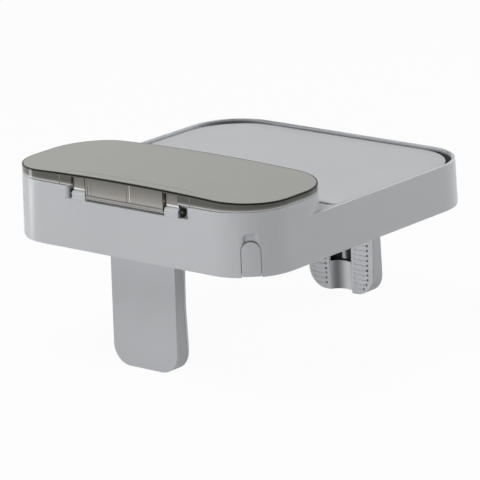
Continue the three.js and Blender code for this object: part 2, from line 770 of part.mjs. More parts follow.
function legShell() {
  const parting = gripThickness + gripGroove;
  const blank = legBlank(0, parting, 0, legTop);
  const cavityTop = legTop - legTopWall;
  const cavity = alongX(legProfile(legWall, -over, cavityTop, -legLength), -legWidth / 2, legWidth / 2)
    .intersect(alongY(legOutline(legWall, cavityTop), -legReach, legReach));
  const bossDrop = legScrewLength + legTopWall;
  const bosses = [-1, 1].map((side) => rodAlongZ(
    bossRadius, -bossDrop, legTop - legTopWall / 2, side * legScrewSpread, neckDepth));
  const shelfHalf = springCoilRadius + legWall * 2;
  const shelf = block(-shelfHalf, shelfHalf, outerFaceAt(springShelfDrop) + legWall / 2,
    leverAxisDepth + springCoilRadius, -springShelfDrop - springShelfThickness, -springShelfDrop);
  const bores = [-1, 1].map((side) => rodAlongZ(
    screwRadius + screwFit, -bossDrop + legWall, over, side * legScrewSpread, neckDepth));
  const padRoom = block(-leverPadWidth / 2 - slideGap, leverPadWidth / 2 + slideGap,
    leverAxisDepth - leverPadDepth / 2 - slideGap, leverAxisDepth + leverPadDepth / 2 + slideGap,
    legTop - legTopWall - over, over);
  const stemRoom = block(-leverStemWidth / 2 - slideGap, leverStemWidth / 2 + slideGap,
    leverAxisDepth - leverStemDepth / 2 - slideGap, leverAxisDepth + leverStemDepth / 2 + slideGap,
    -springShelfDrop - springShelfThickness - over, -springShelfDrop + over);
  const trough = troughPipe(troughWall + gripFit, -legLength - over, -windowBottom);
  return cutBy(joined([blank.subtract(cavity), ...bosses, shelf]), [...bores, padRoom, stemRoom, trough]);
}

function legGrip() {
  const plate = legBlank(0, 0, 0, legTop).subtract(legBlank(-legReach, gripThickness, -over, over));
  const rimInset = legWall + gripFit;
  const rimTop = legTop - legTopWall - gripFit;
  const band = legBlank(-legReach, gripThickness / 2, rimInset, rimTop)
    .subtract(legBlank(-legReach, gripThickness + gripSpigotDepth, -over, over));
  const hollow = legOutline(rimInset + gripSpigotWall, rimTop + over);
  const spigot = band.subtract(alongY(hollow, -legReach, legReach));
  const pipe = troughPipe(troughWall, -legLength, -windowBottom)
    .intersect(legBlank(-legReach, gripThickness / 2, 0, legTop));
  const made = joined([plate, spigot, pipe]);

  const half = troughWidth / 2;
  const window = block(-half, half, 0, legReach, -windowBottom, -windowTop);
  const trough = troughPipe(0, -legLength - over, -windowBottom + over);
  const ribs = [];
  for (let i = 0; i < ribCount; i += 1) {
    const z = -ribLowest + i * ribPitch;
    const rise = Math.max(0, legFootRadius - (legLength + z));
    const sag = legFootRadius - Math.sqrt(legFootRadius ** 2 - rise ** 2);
    const outer = legWidth / 2 - ribMargin - sag;
    const face = alongX(legProfile(-legReach, ribDepth, legTop, -legLength), -legWidth / 2, legWidth / 2);
    for (const side of [-1, 1]) {
      const ends = [side * ribInner, side * outer].sort((a, b) => a - b);
      const slot = block(ends[0], ends[1], 0, legReach, z - ribWidth / 2, z + ribWidth / 2);
      ribs.push(slot.subtract(face));
    }
  }
  return cutBy(made, [window, trough, ...ribs]);
}

// Runner above the base plate: two necks reach down through the slots to the rear leg
function legRunner() {
  const top = baseThickness + slideGap + runnerThickness;
  const half = legScrewSpread + runnerMargin;
  const plate = block(-half, half, neckDepth - runnerLength / 2, neckDepth + runnerLength / 2,
    baseThickness + slideGap, top);
  const necks = [-1, 1].map((side) => block(
    side * legScrewSpread - neckWidth / 2, side * legScrewSpread + neckWidth / 2,
    neckDepth - neckLength / 2, neckDepth + neckLength / 2, legTop + seatGap, top));
  const bores = [-1, 1].map((side) => rodAlongZ(
    screwRadius + screwFit, legTop - over, top + over, side * legScrewSpread, neckDepth));
  return cutBy(joined([plate, ...necks]), bores);
}

// Release lever: a brake pad under the toothed strip, on a stem with a finger tab in the window
function releaseLever() {
  const padTop = legTop;
  const stemBottom = -windowBottom + leverTravel + slideGap;
  const pad = block(-leverPadWidth / 2, leverPadWidth / 2, leverAxisDepth - leverPadDepth / 2,
    leverAxisDepth + leverPadDepth / 2, padTop - leverPadHeight, padTop);
  const stem = block(-leverStemWidth / 2, leverStemWidth / 2, leverAxisDepth - leverStemDepth / 2,
    leverAxisDepth + leverStemDepth / 2, stemBottom, padTop - leverPadHeight / 2);
  const tabReach = legWaistThickness - gripThickness / 2;
  const tab = polygon([
    [leverAxisDepth, -leverTabDrop], [leverAxisDepth, -leverTabDrop - 2 * leverTabHeight],
    [tabReach, -leverTabDrop - leverTabHeight], [tabReach, -leverTabDrop],
  ]);
  return joined([pad, stem, alongX(tab, -leverTabWidth / 2, leverTabWidth / 2)]);
}

// Coil spring round the stem, from the leg's shelf up to the pad
class SpringLine extends THREE.Curve {
  getPoint(t, target = new THREE.Vector3()) {
    const low = -springShelfDrop + seatGap + springWireRadius;
    const high = legTop - leverPadHeight - seatGap - springWireRadius;
    const angle = 2 * Math.PI * springTurns * t;
    const x = springCoilRadius * Math.cos(angle);
    const y = leverAxisDepth + springCoilRadius * Math.sin(angle);
    return target.set(x, y, low + (high - low) * t);
  }
}

function leverSpring() {
  const section = new THREE.Shape();
  section.absarc(0, 0, springWireRadius, 0, 2 * Math.PI, false);
  const geometry = new THREE.ExtrudeGeometry(section, {
    steps: springTurns * 8, extrudePath: new SpringLine(), curveSegments: 3, bevelEnabled: false });
  return solidOf(geometry);
}

// Assembly

const tray = new THREE.Group();
tray.position.z = legLength;
tray.add(meshOf('tray_shell', trayShell(), shellPlastic));
tray.add(meshOf('base_plate', basePlate(), shellPlastic));
tray.add(meshOf('tray_panel', trayPanel(), panelPlastic));
tray.add(meshOf('lid', lid(), smokedPlastic));
for (const [side, word] of [[-1, 'left'], [1, 'right']]) {
  tray.add(meshOf(`hinge_pin_${word}`, hingePin(side), steel));
  tray.add(meshOf(`hook_${word}`, hook(side), shellPlastic));
  tray.add(meshOf(`hook_pin_${word}`, hookPin(side), steel));
}
baseScrewPlaces.forEach(([x, y], i) => {
  const mesh = screw(`base_screw_${i + 1}`, baseScrewLength);
  mesh.rotation.x = Math.PI;
  mesh.position.set(x, y, screwHeadHeight);
  tray.add(mesh);
});

const frontLeg = new THREE.Group();
frontLeg.position.y = frontLegY;
frontLeg.add(meshOf('front_leg_shell', legShell(), legPlastic));
frontLeg.add(meshOf('front_leg_grip', legGrip(), gripPlastic));

const rearLeg = new THREE.Group();
rearLeg.position.y = rearLegY;
rearLeg.rotation.z = Math.PI;
rearLeg.add(meshOf('rear_leg_shell', legShell(), legPlastic));
rearLeg.add(meshOf('rear_leg_grip', legGrip(), gripPlastic));
rearLeg.add(meshOf('leg_runner', legRunner(), legPlastic));
rearLeg.add(meshOf('release_lever', releaseLever(), legPlastic));
rearLeg.add(meshOf('lever_spring', leverSpring(), steel));

for (const [side, word] of [[-1, 'left'], [1, 'right']]) {
  const fixed = screw(`front_leg_screw_${word}`, legScrewLength);
  fixed.position.set(side * legScrewSpread, neckDepth, baseThickness + seatGap);
  frontLeg.add(fixed);
  const sliding = screw(`runner_screw_${word}`, legScrewLength);
  const runnerTop = baseThickness + slideGap + runnerThickness;
  sliding.position.set(-side * legScrewSpread, neckDepth, runnerTop + seatGap);
  rearLeg.add(sliding);
}
tray.add(frontLeg, rearLeg);

const part = new THREE.Group();
part.add(tray);
export default part;
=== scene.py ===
# %% [markdown]
# # A hot tub side tray
# The tray straddles the wall of an inflatable tub on two legs. It has a storage box under a smoked
# lid, a lift-out panel behind it and a fold-out hook on each front corner. The exact solids are
# loaded first, and every piece made here sits on them, in the same place and at the same size.

# %% Load the solids
import bpy
import json
import math
from mathutils import Matrix, Vector

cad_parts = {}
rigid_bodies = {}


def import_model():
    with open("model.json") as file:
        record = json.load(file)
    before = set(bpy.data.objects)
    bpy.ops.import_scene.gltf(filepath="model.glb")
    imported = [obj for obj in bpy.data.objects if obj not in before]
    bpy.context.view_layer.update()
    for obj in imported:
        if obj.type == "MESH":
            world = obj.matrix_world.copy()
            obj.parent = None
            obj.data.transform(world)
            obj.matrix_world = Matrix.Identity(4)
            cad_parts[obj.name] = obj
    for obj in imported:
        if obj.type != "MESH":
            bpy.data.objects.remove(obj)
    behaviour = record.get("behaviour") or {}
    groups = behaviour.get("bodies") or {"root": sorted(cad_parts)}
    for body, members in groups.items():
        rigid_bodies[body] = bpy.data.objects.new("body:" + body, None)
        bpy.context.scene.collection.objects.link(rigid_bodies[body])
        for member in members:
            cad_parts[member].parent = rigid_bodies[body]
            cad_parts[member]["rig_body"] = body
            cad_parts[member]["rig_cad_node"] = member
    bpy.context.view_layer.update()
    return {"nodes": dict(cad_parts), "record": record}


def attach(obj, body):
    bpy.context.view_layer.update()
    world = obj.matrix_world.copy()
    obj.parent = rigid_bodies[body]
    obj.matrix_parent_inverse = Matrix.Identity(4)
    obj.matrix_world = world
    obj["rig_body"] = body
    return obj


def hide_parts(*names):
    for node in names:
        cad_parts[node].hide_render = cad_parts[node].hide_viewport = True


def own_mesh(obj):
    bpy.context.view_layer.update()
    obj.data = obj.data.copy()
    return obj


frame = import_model()
MM = 0.001
# The underside of the tray, above the floor.
BODY_Z = 113.5 * MM

# %% [markdown]
# ## Small helpers
# Operators act on all that is selected, so each step first selects exactly the piece it works on.
# A piece is shaped in edit mode, so that it stays at the origin itself.

# %% Selecting
def pick(piece):
    """Selects one piece alone and makes it active."""
    bpy.ops.object.select_all(action="DESELECT")
    piece.select_set(True)
    bpy.context.view_layer.objects.active = piece


def edit(piece):
    """Opens a piece in edit mode with everything selected."""
    pick(piece)
    bpy.ops.object.mode_set(mode="EDIT")
    bpy.ops.mesh.select_all(action="SELECT")


def leave():
    """Closes edit mode."""
    bpy.ops.object.mode_set(mode="OBJECT")


def select_only(piece, items, test):
    """Opens a piece in edit mode with only the edges or faces that pass a test selected."""
    pick(piece)
    mesh = piece.data
    bpy.context.tool_settings.mesh_select_mode = (False, items == "edges", items == "polygons")
    for kind in ("vertices", "edges", "polygons"):
        for item in getattr(mesh, kind):
            item.select = False
    for item in getattr(mesh, items):
        item.select = test(item, [mesh.vertices[i].co for i in item.vertices])
    bpy.ops.object.mode_set(mode="EDIT")


# %% Blocks, cuts and modifiers
def block(name, low, high):
    """A box between two corners."""
    bpy.ops.object.select_all(action="DESELECT")
    bpy.ops.mesh.primitive_cube_add(size=1, location=(0, 0, 0))
    piece = bpy.context.active_object
    piece.name = name
    piece.data.name = name
    edit(piece)
    bpy.ops.transform.resize(value=[b - a for a, b in zip(low, high)])
    bpy.ops.transform.translate(value=[(a + b) / 2 for a, b in zip(low, high)])
    leave()
    return piece


def slices(piece, axis, places):
    """Cuts a piece across at each place along an axis and keeps both sides."""
    edit(piece)
    for place in places:
        bpy.ops.mesh.select_all(action="SELECT")
        bpy.ops.mesh.bisect(plane_co=Vector(axis) * place, plane_no=axis)
    leave()


def apply_modifier(piece, kind, **settings):
    """Adds one modifier, sets it up and applies it to the mesh."""
    pick(piece)
    modifier = piece.modifiers.new(kind.lower(), kind)
    for key, value in settings.items():
        setattr(modifier, key, value)
    bpy.ops.object.modifier_apply(modifier=modifier.name)


def cut_away(piece, cutter):
    """Takes a cutter out of a piece and throws the cutter away."""
    apply_modifier(piece, "BOOLEAN", operation="DIFFERENCE", solver="EXACT", object=cutter)
    bpy.data.objects.remove(cutter)


# %% [markdown]
# ## Camera
# The photograph was taken from far away with a long lens, from the front right and a little above.
# The numbers were found by matching the tray's edges, so the render lines up with the photograph.

# %% Camera
FOCAL_PIXELS = 3969.26
FRAME_PIXELS = 480
SENSOR_MM = 36
FAR_LIMIT = 50
AZIMUTH, ELEVATION, ROLL = math.radians(40.69), math.radians(15.90), math.radians(-2.77)
CAMERA_PLACE = Vector((2.40990, -2.80787, 1.14417))

back = Vector((math.sin(AZIMUTH) * math.cos(ELEVATION), -math.cos(AZIMUTH) * math.cos(ELEVATION),
               math.sin(ELEVATION)))
right = (-back).cross(Vector((0, 0, 1))).normalized()
up = right.cross(-back)
right_rolled = right * math.cos(ROLL) + up * math.sin(ROLL)
up_rolled = up * math.cos(ROLL) - right * math.sin(ROLL)

camera = bpy.data.objects.new("camera", bpy.data.cameras.new("camera"))
bpy.context.scene.collection.objects.link(camera)
camera.data.sensor_width = SENSOR_MM
camera.data.lens = FOCAL_PIXELS * SENSOR_MM / FRAME_PIXELS
camera.data.clip_end = FAR_LIMIT
facing = Matrix((right_rolled, up_rolled, back)).transposed()
camera.matrix_world = Matrix.Translation(CAMERA_PLACE) @ facing.to_4x4()
bpy.context.scene.camera = camera
print("lens", round(camera.data.lens, 1), "mm")

# %% [markdown]
# ## Finishes
# Every finish is drawn by a few nodes that follow the place on the piece. Each helper below adds one
# node and hands back what comes out of it.

# %% Nodes for the finishes
def tone(value):
    """A screen tone (0 to 255) as linear light."""
    c = value / 255
    return c / 12.92 if c <= 0.04045 else ((c + 0.055) / 1.055) ** 2.4


def place_on_piece(tree):
    """Where a point lies on its piece."""
    return tree.nodes.new("ShaderNodeTexCoord").outputs["Object"]


def new_finish(name):
    """A new material, its node tree, its shader and the place on the piece."""
    material = bpy.data.materials.new(name)
    material.use_nodes = True
    tree = material.node_tree
    return material, tree, tree.nodes["Principled BSDF"], place_on_piece(tree)


def along_axes(tree, place):
    """The X, Y and Z of a place."""
    split = tree.nodes.new("ShaderNodeSeparateXYZ")
    tree.links.new(place, split.inputs[0])
    return split.outputs


def noise(tree, place, scale, detail=2):
    """Soft random patches, finer as the scale grows."""
    patches = tree.nodes.new("ShaderNodeTexNoise")
    patches.inputs["Scale"].default_value = scale
    patches.inputs["Detail"].default_value = detail
    tree.links.new(place, patches.inputs["Vector"])
    return patches.outputs["Fac"]


def stretch(tree, value, low, high, start=0, end=1):
    """A value that runs from start to end, made to run from low to high."""
    limits = tree.nodes.new("ShaderNodeMapRange")
    limits.inputs["From Min"].default_value = start
    limits.inputs["From Max"].default_value = end
    limits.inputs["To Min"].default_value = low
    limits.inputs["To Max"].default_value = high
    tree.links.new(value, limits.inputs["Value"])
    return limits.outputs["Result"]


def between(tree, share, first, second):
    """A colour that lies between two others."""
    mix = tree.nodes.new("ShaderNodeMix")
    mix.data_type = "RGBA"
    mix.inputs["A"].default_value = first
    mix.inputs["B"].default_value = second
    tree.links.new(share, mix.inputs["Factor"])
    return mix.outputs["Result"]


def arithmetic(tree, operation, *values):
    """One sum; each value is a number or another node's output."""
    node = tree.nodes.new("ShaderNodeMath")
    node.operation = operation
    for socket, value in zip(node.inputs, values):
        if isinstance(value, (int, float)):
            socket.default_value = value
        else:
            tree.links.new(value, socket)
    return node.outputs[0]


# %% Variation in a finish
def vary_colour(tree, shader, pattern, colour, spread):
    """Lets a pattern make a colour a little darker and lighter."""
    dark = [c * (1 - spread) for c in colour] + [1]
    light = [c * (1 + spread) for c in colour] + [1]
    tree.links.new(between(tree, pattern, dark, light), shader.inputs["Base Color"])


def vary_gloss(tree, shader, pattern, smoothest, roughest):
    """Lets a pattern make a finish a little glossier and duller."""
    tree.links.new(stretch(tree, pattern, smoothest, roughest), shader.inputs["Roughness"])


# %% [markdown]
# ## Moulded plastic
# All the grey pieces are moulded plastic with a fine satin grain. Slow noise shifts the colour and
# the gloss a little, and fast noise gives the grain its bump.

# %% Moulded plastic
CLOUD_SCALE, CLOUD_DETAIL, CLOUD_SPREAD = 14, 3, 0.035
PATCH_SCALE, PATCH_DETAIL, PATCH_SPREAD = 55, 4, 0.02
GRAIN_SCALE, GRAIN_STRENGTH, GRAIN_HEIGHT = 1600, 0.12, 0.1 * MM


def plastic(name, rgb, roughness, grain=1.0):
    """Satin plastic in one colour."""
    material, tree, shader, place = new_finish(name)
    clouds = noise(tree, place, CLOUD_SCALE, CLOUD_DETAIL)
    vary_colour(tree, shader, clouds, [tone(v) for v in rgb], CLOUD_SPREAD)
    patches = noise(tree, place, PATCH_SCALE, PATCH_DETAIL)
    vary_gloss(tree, shader, patches, roughness - PATCH_SPREAD, roughness + PATCH_SPREAD)
    bump = tree.nodes.new("ShaderNodeBump")
    bump.inputs["Strength"].default_value = GRAIN_STRENGTH * grain
    bump.inputs["Distance"].default_value = GRAIN_HEIGHT
    tree.links.new(noise(tree, place, GRAIN_SCALE), bump.inputs["Height"])
    tree.links.new(bump.outputs["Normal"], shader.inputs["Normal"])
    return material


shell_plastic = plastic("shell_plastic", (180, 182, 185), roughness=0.31)
# Painted highlight: a pale tone for the rounding on the rim's outer edge.
rim_painted_highlight = plastic("rim_painted_highlight", (226, 227, 229), roughness=0.31, grain=0.5)
panel_plastic = plastic("panel_plastic", (189, 191, 193), roughness=0.5, grain=1.6)
leg_plastic = plastic("leg_plastic", (174, 176, 179), roughness=0.45)
grip_plastic = plastic("grip_plastic", (204, 206, 209), roughness=0.5)
# Painted light for the left end of the well's wall, which faces the light.
well_painted_light = plastic("well_painted_light", (208, 210, 213), roughness=0.4)
# Painted shade for the faces inside the hollow legs.
leg_inside_painted_shade = plastic("leg_inside_painted_shade", (40, 41, 43), roughness=0.6)
print("plastics made")

# %% [markdown]
# ## Graded plastic
# The tone of these finishes changes along the piece. The lid is one clear smoked moulding. Its top is
# frosted in the mould and reads as an even warm grey. The skirt is polished, and its tone is painted
# shading for the light that falls down through its edge: painted shade at the top, painted light at its
# foot.

# %% Graded plastic
HAZE_SCALE, HAZE_DETAIL, HAZE_SPREAD, HAZE_DULLS = 26, 3, 0.06, 0.06
ACRYLIC_IOR = 1.49


def graded(name, stops, low, high, roughness, clearness=0, shine=0.5, axis="Z"):
    """Plastic whose tone changes along an axis, most often with height, between two marks."""
    material, tree, shader, place = new_finish(name)
    shader.inputs["Transmission Weight"].default_value = clearness
    shader.inputs["IOR"].default_value = ACRYLIC_IOR
    shader.inputs["Specular IOR Level"].default_value = shine
    ramp = tree.nodes.new("ShaderNodeValToRGB")
    while len(ramp.color_ramp.elements) < len(stops):
        ramp.color_ramp.elements.new(0.5)
    for element, (share, rgb) in zip(ramp.color_ramp.elements, stops):
        element.position = share
        element.color = [tone(v) for v in rgb] + [1]
    reach = stretch(tree, along_axes(tree, place)[axis], 0, 1, low, high)
    tree.links.new(reach, ramp.inputs["Fac"])
    haze = noise(tree, place, HAZE_SCALE, HAZE_DETAIL)
    shade = tree.nodes.new("ShaderNodeVectorMath")
    shade.name = "shade"
    shade.operation = "SCALE"
    tree.links.new(ramp.outputs["Color"], shade.inputs[0])
    tree.links.new(stretch(tree, haze, 1 - HAZE_SPREAD, 1 + HAZE_SPREAD), shade.inputs["Scale"])
    tree.links.new(shade.outputs["Vector"], shader.inputs["Base Color"])
    vary_gloss(tree, shader, haze, roughness, roughness + HAZE_DULLS)
    return material


# %% Finishes of the lid
LID_LOW = BODY_Z + 62.1 * MM
LID_EDGE = LID_LOW + 7.2 * MM
HINGE_Y, HINGE_Z = -164.33 * MM, BODY_Z + 53.8 * MM
FLAP_LOW = HINGE_Z - 0.9 * MM
SKIRT_TOP = LID_LOW + 8 * MM
WINDOW_TOP = LID_EDGE + 4 * MM
FOOT_LOW = HINGE_Z - 4 * MM

frost_tones = [(0, (167, 168, 161)), (1, (171, 172, 165))]
# Painted shade: the dark rounded top edge, the ends of the front plates and the ears in their notches.
edge_painted_shade_tones = [(0, (24, 24, 21)), (1, (15, 15, 12))]
# Painted shading on the skirt: painted shade at the top, painted light at the foot.
skirt_painted_tones = [(0, (202, 202, 200)), (0.1, (194, 194, 191)), (0.15, (156, 156, 152)),
               (0.24, (120, 120, 115)), (0.36, (96, 96, 91)), (0.5, (87, 87, 81)), (1, (88, 88, 82))]
# Painted shading on the front plates: painted shade at the top, painted light at the foot.
window_painted_tones = [(0, (168, 166, 161)), (0.22, (166, 163, 158)), (0.38, (150, 147, 142)),
                (0.62, (135, 132, 127)), (1, (108, 107, 102))]
lip_tones = [(0, (112, 111, 105)), (1, (124, 122, 116))]
# Painted highlight: a pale line beside the flap's centre rib and along the foot of each block.
glint_tones = [(0, (246, 246, 244)), (1, (226, 226, 223))]
# Painted light on the knuckles' lower faces, which sit in shade in the pocket.
foot_painted_light_tones = [(0, (244, 244, 241)), (0.45, (214, 213, 209)), (0.75, (138, 136, 131)),
              (1, (126, 124, 119))]
lid_frost = graded("lid_frost", frost_tones, LID_LOW, LID_EDGE, roughness=0.42, clearness=0.3)
lid_edge_painted_shade = graded("lid_edge_painted_shade", edge_painted_shade_tones, LID_LOW, LID_EDGE, roughness=0.3, shine=0.12)
lid_skirt_painted_shading = graded("lid_skirt_painted_shading", skirt_painted_tones, LID_LOW, SKIRT_TOP, roughness=0.14, clearness=0.12, shine=0.3)
lid_window_painted_shading = graded("lid_window_painted_shading", window_painted_tones, FLAP_LOW, WINDOW_TOP, roughness=0.14, clearness=0.12,
                    shine=0.3)
lid_lip = graded("lid_lip", lip_tones, FLAP_LOW, LID_EDGE, roughness=0.12, clearness=0.2)
lid_glint = graded("lid_glint", glint_tones, FLAP_LOW, LID_EDGE, roughness=0.2, clearness=0.1)
lid_foot_painted_light = graded("lid_foot_painted_light", foot_painted_light_tones, FOOT_LOW, FLAP_LOW, roughness=0.2, clearness=0.1)
print("lid finishes made")

# %% Fine seam on the frosted top
SEAM_Y, SEAM_INNER, SEAM_OUTER = -156.7 * MM, 47.5 * MM, 76 * MM
SEAM_WIDTH, SEAM_DARK = 1.1 * MM, 0.42
SEAM_HALF, SEAM_END_HALF = SEAM_WIDTH / 2, SEAM_WIDTH / 3


def draw_seam(material):
    """Darkens a finish along a fine line across the lid, with short ends that run to its front."""
    tree = material.node_tree
    axes = along_axes(tree, place_on_piece(tree))
    across = arithmetic(tree, "ABSOLUTE", axes["X"])
    line = arithmetic(tree, "COMPARE", axes["Y"], SEAM_Y, SEAM_HALF)
    line = arithmetic(tree, "MULTIPLY", line, arithmetic(tree, "LESS_THAN", across, SEAM_OUTER))
    inner = arithmetic(tree, "COMPARE", across, SEAM_INNER, SEAM_END_HALF)
    outer = arithmetic(tree, "COMPARE", across, SEAM_OUTER, SEAM_END_HALF)
    ends = arithmetic(tree, "MAXIMUM", inner, outer)
    ends = arithmetic(tree, "MULTIPLY", ends, arithmetic(tree, "LESS_THAN", axes["Y"], SEAM_Y))
    dim = arithmetic(tree, "MULTIPLY_ADD", arithmetic(tree, "MAXIMUM", line, ends), -SEAM_DARK, 1.0)
    scale = tree.nodes["shade"].inputs["Scale"]
    haze = scale.links[0].from_socket
    tree.links.new(arithmetic(tree, "MULTIPLY", haze, dim), scale)


draw_seam(lid_frost)
print("seam drawn on", lid_frost.name)

# %% [markdown]
# ## Steel
# The screws and the spring are bright steel with a fine streak. The hinge and hook pins are blackened
# steel, so they sit dark in their pockets.

# %% Steel
STREAK_SCALE, STREAK_SPREAD, STREAK_DULLS = 700, 0.15, 0.08


def steel(name, rgb, roughness):
    """Steel with a fine streak."""
    material, tree, shader, place = new_finish(name)
    shader.inputs["Metallic"].default_value = 1
    streak = noise(tree, place, STREAK_SCALE)
    vary_colour(tree, shader, streak, rgb, STREAK_SPREAD)
    vary_gloss(tree, shader, streak, roughness - STREAK_DULLS, roughness + STREAK_DULLS)
    return material


screw_steel = steel("screw_steel", (0.58, 0.59, 0.60), roughness=0.3)
pin_steel = steel("pin_steel", (0.13, 0.13, 0.14), roughness=0.42)
print("steels made")

# %% [markdown]
# ## Moulded pieces
# A moulding has no knife-sharp edge. Each solid whose form is right is copied, its loose triangles
# are merged into flat faces, and a narrow bevel rounds every edge, which is what catches the light.

# %% Copying a solid and rounding its edges
MERGE_DISTANCE = 0.02 * MM
FLAT_ANGLE, ANY_ANGLE = math.radians(0.6), math.radians(180)
SHARP_ANGLE, SMOOTH_ANGLE = math.radians(30), math.radians(38)


def copy_of(node, name):
    """A loose copy of one solid, its triangles merged into flat faces."""
    pick(frame["nodes"][node])
    bpy.ops.object.duplicate()
    piece = bpy.context.active_object
    piece.name = name
    piece.data.name = name
    bpy.ops.object.parent_clear(type="CLEAR_KEEP_TRANSFORM")
    # The copy is a piece of its own, so it drops the marks that tie the solid to its body.
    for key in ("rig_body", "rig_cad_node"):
        if key in piece:
            del piece[key]
    piece.data.materials.clear()
    edit(piece)
    bpy.ops.mesh.customdata_custom_splitnormals_clear()
    bpy.ops.mesh.remove_doubles(threshold=MERGE_DISTANCE)
    bpy.ops.mesh.tris_convert_to_quads(face_threshold=FLAT_ANGLE, shape_threshold=ANY_ANGLE)
    leave()
    return piece


def smooth(piece):
    """Shades a piece smooth, apart from its sharp edges."""
    pick(piece)
    bpy.ops.object.shade_smooth_by_angle(angle=SMOOTH_ANGLE)
    apply_modifier(piece, "WEIGHTED_NORMAL", keep_sharp=True)


def round_edges(piece, width):
    """Rounds every sharp edge of a piece, the way a mould leaves it."""
    apply_modifier(piece, "BEVEL", width=width, segments=2, limit_method="ANGLE",
                   angle_limit=SHARP_ANGLE, use_clamp_overlap=False, loop_slide=False)
    smooth(piece)


def rounded_copy(node, name, width):
    """A copy of one solid with its edges rounded."""
    piece = copy_of(node, name)
    round_edges(piece, width)
    return piece


# %% Finishing a piece
def settle(piece, material, body, slot, *nodes):
    """Gives a finished piece its finish and its body, and hides the solid it stands for."""
    if not piece.data.materials:
        piece.data.materials.append(material)
    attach(piece, body)
    if nodes:
        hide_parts(*nodes)
    print(piece.name, len(piece.data.polygons), "faces")


def add_finishes(piece, *materials):
    """Lets a piece have more than one finish."""
    for material in materials:
        piece.data.materials.append(material)


def finish_number(piece, material):
    """Which of a piece's finishes a material is."""
    return piece.data.materials.find(material.name)


def paint(piece, face, material):
    """Gives one face of a piece another of its finishes."""
    face.material_index = finish_number(piece, material)


# %% [markdown]
# ## Shell
# The shell ends in a rim round the panel's well. The rounding on the rim's outer edge carries a painted
# highlight, a thin pale line. The wall inside the rim has painted shade as far up as the panel and painted
# light above it, and its left end, which faces the light, has painted light all over.

# %% Where the rim and the wall of the well lie
RIM_TOP, RIM_HALF, RIM_REAR, RIM_CORNER = 159 * MM, 158.84 * MM, 168.84 * MM, 52.84 * MM
RIM_NEAR, TILT_FROM, TILT_TO, UPRIGHT = 0.7 * MM, 0.15, 0.99, 0.5
WALL_FROM, WALL_TO = 2 * MM, 5 * MM
WELL_FRONT, WELL_DEPTH = -60 * MM, 45 * MM
WELL_LIT = -90 * MM
WELL_SHADE_LOW, WELL_SHADE_HIGH = 150 * MM, 160 * MM


def rim_depth(face):
    """How far the middle of a face lies inside the outer edge of the rim."""
    past_x = max(0, abs(face.center.x) - (RIM_HALF - RIM_CORNER))
    past_y = max(0, face.center.y - (RIM_REAR - RIM_CORNER))
    return RIM_CORNER - math.hypot(past_x, past_y)


def on_rim_edge(face):
    """Whether a face belongs to the narrow rounding on the outer edge of the rim."""
    level = abs(face.center.z - RIM_TOP) < RIM_NEAR
    return level and abs(rim_depth(face)) < RIM_NEAR and TILT_FROM < face.normal.z < TILT_TO


def on_well_wall(face):
    """Whether a face belongs to the upright wall round the panel's well."""
    inside = WALL_FROM < rim_depth(face) < WALL_TO and face.center.y > WELL_FRONT
    return inside and abs(face.normal.z) < UPRIGHT and 0 < RIM_TOP - face.center.z < WELL_DEPTH


# Painted shading on the well's wall: painted shade below the panel's top, painted light above it.
well_painted_tones = [(0, (104, 105, 107)), (0.5, (104, 105, 107)), (0.56, (208, 210, 213)),
              (1, (208, 210, 213))]
well_painted_shading = graded("well_painted_shading", well_painted_tones, WELL_SHADE_LOW, WELL_SHADE_HIGH, roughness=0.4)
print("well wall finish made")

# %% Shell
SHELL_CUT, SHELL_EDGE = -72 * MM, 0.5 * MM

shell = copy_of("tray_shell", "shell_moulding")
# The cut divides the rim's long straight edge, which would not take a bevel in one length.
slices(shell, (0, 1, 0), [SHELL_CUT])
round_edges(shell, SHELL_EDGE)
settle(shell, shell_plastic, "tray", "shell", "tray_shell")
add_finishes(shell, rim_painted_highlight, well_painted_shading, well_painted_light)
for face in shell.data.polygons:
    # The rim's rounding gets its painted highlight.
    if on_rim_edge(face):
        paint(shell, face, rim_painted_highlight)
    # The well's wall gets painted shade and light, and painted light all over at its left end.
    elif on_well_wall(face):
        paint(shell, face, well_painted_shading if face.center.x > WELL_LIT else well_painted_light)

# %% [markdown]
# ## Panel, hooks and base
# These need no more than rounded edges. The panel lifts out, and each hook folds out on its own pin.

# %% Panel, hooks and base
PANEL_EDGE, HOOK_EDGE, BASE_EDGE = 0.6 * MM, 0.3 * MM, 0.3 * MM

panel = rounded_copy("tray_panel", "panel_board", PANEL_EDGE)
settle(panel, panel_plastic, "panel", "panel", "tray_panel")
for side in ("left", "right"):
    hook = rounded_copy("hook_" + side, "hook_slab_" + side, HOOK_EDGE)
    settle(hook, shell_plastic, "hook_" + side, "shell", "hook_" + side)
base = rounded_copy("base_plate", "base_board", BASE_EDGE)
settle(base, shell_plastic, "tray", "shell", "base_plate")

# %% [markdown]
# ## Legs
# Each leg is a hollow housing closed by a grooved pad on its inner side; the faces inside the hollow get
# painted shade. A small square hole drains one end of every groove. The holes are too fine for the solid,
# so they are punched into the copy here. The rear leg is the front one turned about, so its holes lie at
# the other end. A finger trough runs up the middle of each pad, with painted shade on its left flank and
# painted light on its right. Sizes in these two cells are in millimetres, and depths are measured from the
# leg's outer face.

# %% Where the parts of a leg lie
RIB_FIRST, RIB_PITCH, RIB_COUNT = 6.5, 5.05, 13
HOLE, HOLE_DEPTH, HOLE_CLEAR = 2.1, 3.3, 1
LEG_SPLAY, LEG_SKIN, LEG_OUTER = 3, 1.5, 1
LEG_HALF, FOOT_RADIUS, RIB_MARGIN, RIB_INNER = 40, 20.5, 4.5, 17.5
PAD_FACE = ((0, 14.2), (25.5, 14.8), (63.6, 13.6), (113.5, 15.5))
TROUGH_HALF, TROUGH_TOP, TROUGH_STEP, TROUGH_FACING = 14, 30, 0.4, 0.4


